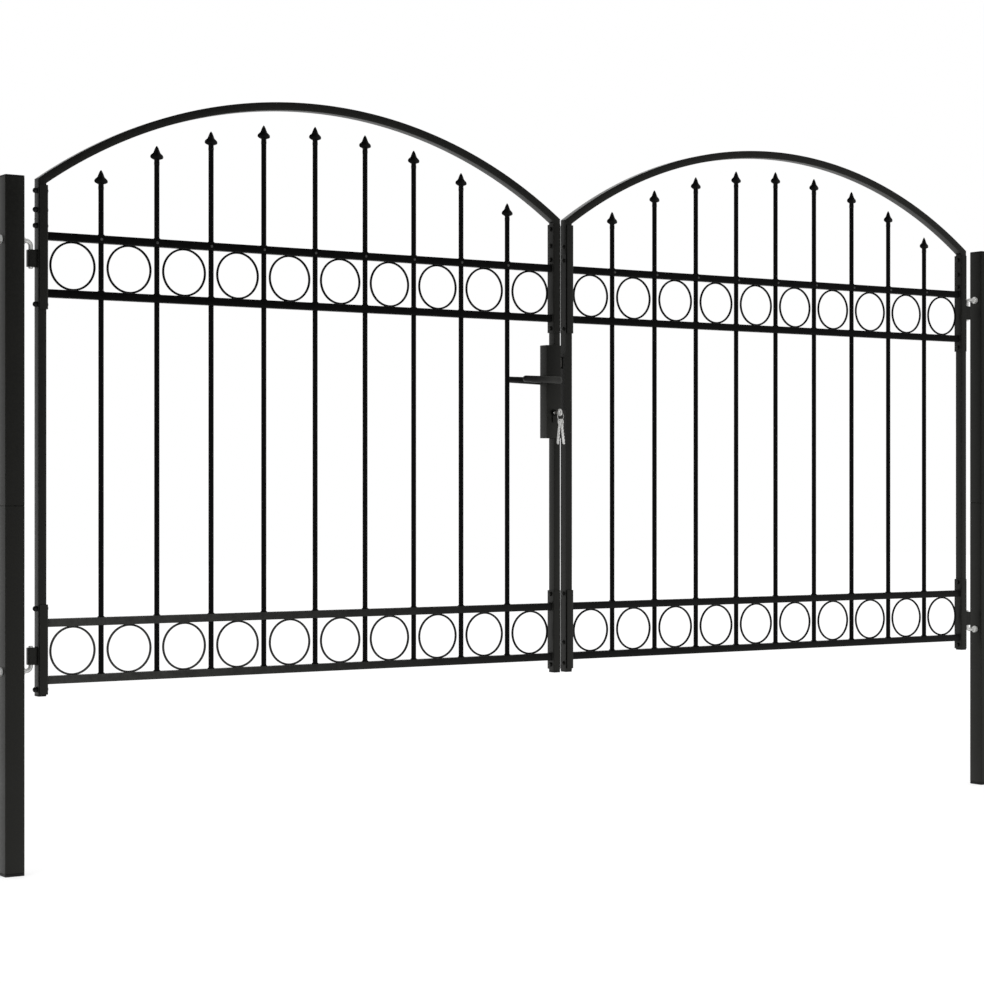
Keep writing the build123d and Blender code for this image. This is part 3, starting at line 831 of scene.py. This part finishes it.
def keyholeDiscs(radius, proud):
    # on both faces of the cylinder, a low disc with a bevelled rim and a shallow dish around the key
    dishEdge, dish = lockShape["dishEdgeShare"], lockShape["dishShare"]
    outline = [(radius, 0), (radius, proud / 2), (radius - proud / 2, proud), (radius * dishEdge, proud),
               (radius * dish, proud * dish)]
    faces = ((cylinderFront, -acrossY), (-cylinderFront, acrossY))
    return [turned(outline, np.array([lockX, y, keyLevel]), axis, lockShape["around"]) for y, axis in faces]


leverShape = {"rootHeight": 19 * mm, "tipHeight": 15.5 * mm, "thickness": 9 * mm, "endThinShare": 0.45,
              "soft": 3.6, "endTurn": 0.02, "rows": 70, "around": 40, "neckRadius": 9 * mm, "flare": 1.6 * mm,
              "skirt": 1 * mm, "taper": 3 * mm, "root": 2 * mm, "neckAround": 32}


def leverGrip(front):
    # rows along the grip; each is a rounded oval, cosine and sine raised to two over soft. Height runs evenly
    # from root to tip with a flat top edge, and both ends round off as half circles
    low, high = boxOf("front_lever")
    shape = leverShape
    root, tip = shape["rootHeight"] / 2, shape["tipHeight"] / 2
    walk = (1 - np.cos(np.linspace(shape["endTurn"], math.pi - shape["endTurn"], shape["rows"]))) / 2
    x = high[0] + (low[0] - high[0]) * walk
    half = root + (tip - root) * walk
    fromEnd = np.minimum(np.clip((high[0] - x) / root, 0, 1), np.clip((x - low[0]) / tip, 0, 1))
    ends = np.sqrt(1 - (1 - fromEnd) ** 2)
    turn = fullTurn(shape["around"])
    cos, sin = softWaves(turn, 2 / shape["soft"])
    middle = (high[2] - half)[:, None]
    z = middle + (half * ends)[:, None] * cos
    outer = low[1] + shape["thickness"] / 2
    thin = shape["endThinShare"]
    y = outer + (shape["thickness"] / 2 * (thin + (1 - thin) * ends))[:, None] * sin
    points = np.stack([np.broadcast_to(x[:, None], z.shape), y, z], -1)
    neckLevel = (low[2] + high[2]) / 2
    length = high[1] - low[1] - shape["thickness"] / 2
    wide, slim = shape["neckRadius"], shape["neckRadius"] - shape["flare"]
    neck = [(wide, 0), (wide, shape["skirt"]), (slim, shape["taper"]),
            (slim, length - shape["root"]), (wide, length)]
    foot = np.array([lockX, high[1], neckLevel])
    shells = [ringGrid(points), turned(neck, foot, -acrossY, shape["neckAround"])]
    return shells if front else flipped(shells, (1, -1, 1), (0, 0, 0))


makePiece("front_lever_handle", "lever", "lever_black", leverGrip(True), ["front_lever"], sharpAngle=50)
makePiece("back_lever_handle", "lever", "lever_black", leverGrip(False), ["back_lever"], sharpAngle=50)

keyShape = {"thickness": 2.2 * mm, "bow": 9.46 * mm, "hole": 2.5 * mm, "holeOffset": 4 * mm, "blade": 8 * mm,
            "edge": 0.5 * mm, "around": 56, "bowGap": 0.04 * mm, "bladeRows": 90, "bladeStartShare": 0.8,
            "cuts": 5, "cutDepth": 1.6 * mm, "cutSlope": 1.6, "cutFlat": 0.3, "shoulder": 6 * mm,
            "uncut": 8 * mm, "tip": 3 * mm, "tipShare": 0.35,
            "spareBow": 7 * mm, "spareHoleOffset": 3 * mm, "spareBlade": 50 * mm, "spareTurn": 8.0,
            "sparePlaces": (-2.4 * mm, 2.4 * mm), "spareLeans": (6.0, -7.5),
            "ringRadius": 9 * mm, "ringWire": 1.6 * mm, "ringTurns": 2, "ringRows": 160, "wireAround": 10,
            "hangGap": 0.5 * mm}


def keyBow(bow, holeOffset):
    # a plate between the hole's circle and the bow's, with rounded rims: rows run from one circle to the other
    shape = keyShape
    half, edge, hole = shape["thickness"] / 2, shape["edge"], shape["hole"]
    radius = np.array([hole, hole + edge, bow - edge, bow, bow, bow - edge, hole + edge, hole])
    level = np.array([half - edge, half, half, half - edge, edge - half, -half, -half, edge - half])
    share = (radius - hole) / (bow - hole)
    centre = -holeOffset * (1 - share)
    turn = fullTurn(shape["around"])
    x = centre[:, None] + radius[:, None] * np.cos(turn)
    y = radius[:, None] * np.sin(turn)
    return ringGrid(np.stack([x, y, np.broadcast_to(level[:, None], x.shape)], -1), True)


def keyBlade(bow, length):
    # a flat bar with a groove along each face; its lower edge is cut by a row of notches, its tip is pointed
    shape = keyShape
    half, wide = shape["thickness"] / 2, shape["blade"] / 2
    x = np.linspace(bow * shape["bladeStartShare"], bow + length, shape["bladeRows"])
    share = np.clip((x - bow - shape["shoulder"]) / (length - shape["uncut"]), 0, 1)
    wave = shape["cutSlope"] * np.abs(np.sin(share * math.pi * shape["cuts"])) - shape["cutFlat"]
    notch = shape["cutDepth"] * np.clip(wave, 0, 1) * (share > 0) * (share < 1)
    point = np.clip((bow + length - x) / shape["tip"], 0, 1)
    narrow = shape["tipShare"] + (1 - shape["tipShare"]) * point
    top = wide * narrow
    bottom = -(wide - notch) * narrow
    # one face from its top edge to its bottom edge, across and out, with the groove at half depth
    acrossShares = np.array([1.0, 0.95, 0.62, 0.55, 0.35, 0.28, 0.05, 0.0])
    outShares = np.array([0.7, 1.0, 1.0, 0.5, 0.5, 1.0, 1.0, 0.7])
    y = bottom[:, None] + (top - bottom)[:, None] * np.append(acrossShares, acrossShares[::-1])
    z = np.broadcast_to(np.append(outShares, -outShares[::-1]) * half, y.shape)
    return ringGrid(np.stack([np.broadcast_to(x[:, None], y.shape), y, z], -1))


def keyRing(centre):
    # two close turns of wire: a circle whose place along Y climbs evenly by one wire over two turns
    wire = keyShape["ringWire"] / 2
    turn = np.linspace(0, 2 * math.pi * keyShape["ringTurns"], keyShape["ringRows"])
    rise = wire * (turn / turn[-1] - 0.5)
    radius = keyShape["ringRadius"]
    path = np.stack([radius * np.cos(turn), rise, radius * np.sin(turn)], -1) + centre
    return sweep(circle(wire / 2, keyShape["wireAround"]), path, acrossY)


def hangingKey(place, leanDegrees):
    # the hole goes to the ring, the blade points down, and the key turns about its length and leans sideways
    lean, spin = math.radians(leanDegrees), math.radians(keyShape["spareTurn"])
    down = np.array([[0, 0, 1], [0, 1, 0], [-1, 0, 0]], float)
    tilt = np.array([[math.cos(lean), 0, math.sin(lean)], [0, 1, 0], [-math.sin(lean), 0, math.cos(lean)]])
    face = np.array([[math.cos(spin), -math.sin(spin), 0], [math.sin(spin), math.cos(spin), 0], [0, 0, 1]])
    bow, holeOffset = keyShape["spareBow"], keyShape["spareHoleOffset"]
    shells = [keyBow(bow, holeOffset), keyBlade(bow, keyShape["spareBlade"])]
    held = [(points + (holeOffset, 0, 0), faces) for points, faces in shells]
    return [moved(shell, tilt @ face @ down, place) for shell in held]


bowY = keyLow[1] + keyShape["bow"] + keyShape["bowGap"]
plugDiscs = keyholeDiscs(lockShape["plugRadius"], lockShape["plugProud"])
coreDiscs = keyholeDiscs(lockShape["coreRadius"], lockShape["coreProud"])
# the plugs round the keyholes take the darker copy of the coat: painted shade
makePiece("keyhole_plugs", "left_leaf", "lever_black", plugDiscs, look="painted_shade_black")
makePiece("keyhole_cores", "left_leaf", "key_steel", coreDiscs)
intoLock = np.array([[0, 0, 1], [1, 0, 0], [0, 1, 0]], float)
bowPlace = (lockX, bowY, keyLevel)
bladeLength = keyHigh[1] - bowY - keyShape["bow"]
bowShell = moved(keyBow(keyShape["bow"], keyShape["holeOffset"]), intoLock, bowPlace)
bladeShell = moved(keyBlade(keyShape["bow"], bladeLength), intoLock, bowPlace)
makePiece("key_bow_at_lock", "left_leaf", "key_steel", [bowShell], ["lock_key"], sharpAngle=40)
# the blade in the lock takes the darker nickel look while the bow is key steel: painted shade
makePiece("key_blade_in_lock", "left_leaf", "key_steel", [bladeShell], sharpAngle=40, look="nickel")
hang = keyShape["hole"] - keyShape["ringWire"] / 2 - keyShape["hangGap"]
ringY = bowY - keyShape["holeOffset"]
ringLevel = keyLevel - hang - keyShape["ringRadius"]
spareShells = [keyRing(np.array([lockX, ringY, ringLevel]))]
for place, leanDegrees in zip(keyShape["sparePlaces"], keyShape["spareLeans"]):
    holeLevel = ringLevel - math.sqrt(keyShape["ringRadius"] ** 2 - place ** 2) - hang
    spareShells += hangingKey((lockX + place, ringY, holeLevel), leanDegrees)
makePiece("ring_and_spare_keys", "left_leaf", "key_steel", spareShells, ["spare_keys"], sharpAngle=40)
print("lock and keys done")


# Studio: white surroundings for the camera and for reflections from behind, a dimmer room in front, soft lamps

studio = {"fill": 0.85, "glossMiddle": 0.34, "glossRight": 0.84, "glossBack": 0.75, "glossLeast": 0.07,
          "floorSize": 40.0, "floorDrop": 0.5 * mm, "floorTone": (0.45, 0.45, 0.45, 1), "floorLift": 0.64,
          "keyPower": 0.45, "keyTurn": (58, 0, -62), "keySpread": 25,
          "rimPower": 0.25, "rimTurn": (62, 0, 150), "rimSpread": 40}


def lightWorld():
    world = bpy.data.worlds.new("studioWorld")
    bpy.context.scene.world = world
    world.cycles.sampling_method = "NONE"  # reflections then see what the rays that meet them see
    paint = Paint(world)
    direction = paint.node("TexCoord", out="Generated")
    toRight = paint.node("SeparateXYZ", {}, {0: direction}, out="X")
    toBack = paint.node("SeparateXYZ", {}, {0: direction}, out="Y")
    seen = paint.node("LightPath", out="Is Camera Ray")
    clear = paint.node("LightPath", out="Is Transmission Ray")
    gloss = paint.node("LightPath", out="Is Glossy Ray")
    slope = studio["glossMiddle"] + toRight * studio["glossRight"] + toBack * studio["glossBack"]
    glossLevel = paint.node("Clamp", {}, {"Value": slope, "Min": studio["glossLeast"]})
    unseen = gloss * glossLevel + (1 - gloss) * studio["fill"]
    white = (seen + clear).clamped()
    strength = white + (1 - white) * unseen
    sky = paint.node("Background", {}, {"Color": (1, 1, 1, 1), "Strength": strength})
    paint.node("OutputWorld", {}, {"Surface": sky})


def layFloor():
    # a flat square under the posts; what the camera and reflections see is lifted to white, less the shadow
    half = studio["floorSize"] / 2
    square = ((-half, -half), (half, -half), (half, half), (-half, half))
    corners = [(x + gateMiddle, y, -studio["floorDrop"]) for x, y in square]
    mesh = bpy.data.meshes.new("studioFloor")
    mesh.from_pydata(corners, [], [(0, 1, 2, 3)])
    floor = bpy.data.objects.new("studioFloor", mesh)
    bpy.context.scene.collection.objects.link(floor)
    material = bpy.data.materials.new("floorPaper")
    paint = Paint(material)
    seen = paint.node("LightPath", out="Is Camera Ray")
    clear = paint.node("LightPath", out="Is Transmission Ray")
    gloss = paint.node("LightPath", out="Is Glossy Ray")
    matte = paint.node("BsdfDiffuse", {}, {"Color": studio["floorTone"]})
    glow = (seen + clear + gloss).clamped() * studio["floorLift"]
    lift = paint.node("Emission", {}, {"Color": (1, 1, 1, 1), "Strength": glow})
    lifted = paint.node("AddShader", {}, {0: matte, 1: lift})
    paint.node("OutputMaterial", {}, {"Surface": lifted})
    mesh.materials.append(material)


def addSun(name, power, turn, spread):
    lamp = bpy.data.lights.new(name, "SUN")
    lamp.energy = power
    lamp.angle = math.radians(spread)
    lampObject = bpy.data.objects.new(name, lamp)
    lampObject.rotation_euler = [math.radians(angle) for angle in turn]
    bpy.context.scene.collection.objects.link(lampObject)


lightWorld()
layFloor()
addSun("keyLamp", studio["keyPower"], studio["keyTurn"], studio["keySpread"])
addSun("rimLamp", studio["rimPower"], studio["rimTurn"], studio["rimSpread"])
bpy.context.scene.view_settings.view_transform = "Standard"

view = {"place": (-2.0274, -4.908, 0.834), "turn": (90, 0, -33.83), "focalPixels": 2384.0,
        "framePixels": 984.0, "sensor": 36.0, "shiftPixels": (0.85, 1.5)}
camera = bpy.data.cameras.new("gateCamera")
camera.sensor_width = view["sensor"]
camera.lens = view["sensor"] * view["focalPixels"] / view["framePixels"]
camera.shift_x = view["shiftPixels"][0] / view["framePixels"]
camera.shift_y = view["shiftPixels"][1] / view["framePixels"]
cameraObject = bpy.data.objects.new("gateCamera", camera)
cameraObject.location = view["place"]
cameraObject.rotation_euler = [math.radians(angle) for angle in view["turn"]]
bpy.context.scene.collection.objects.link(cameraObject)
bpy.context.scene.camera = cameraObject
print("studio done")

bpy.context.view_layer.update()
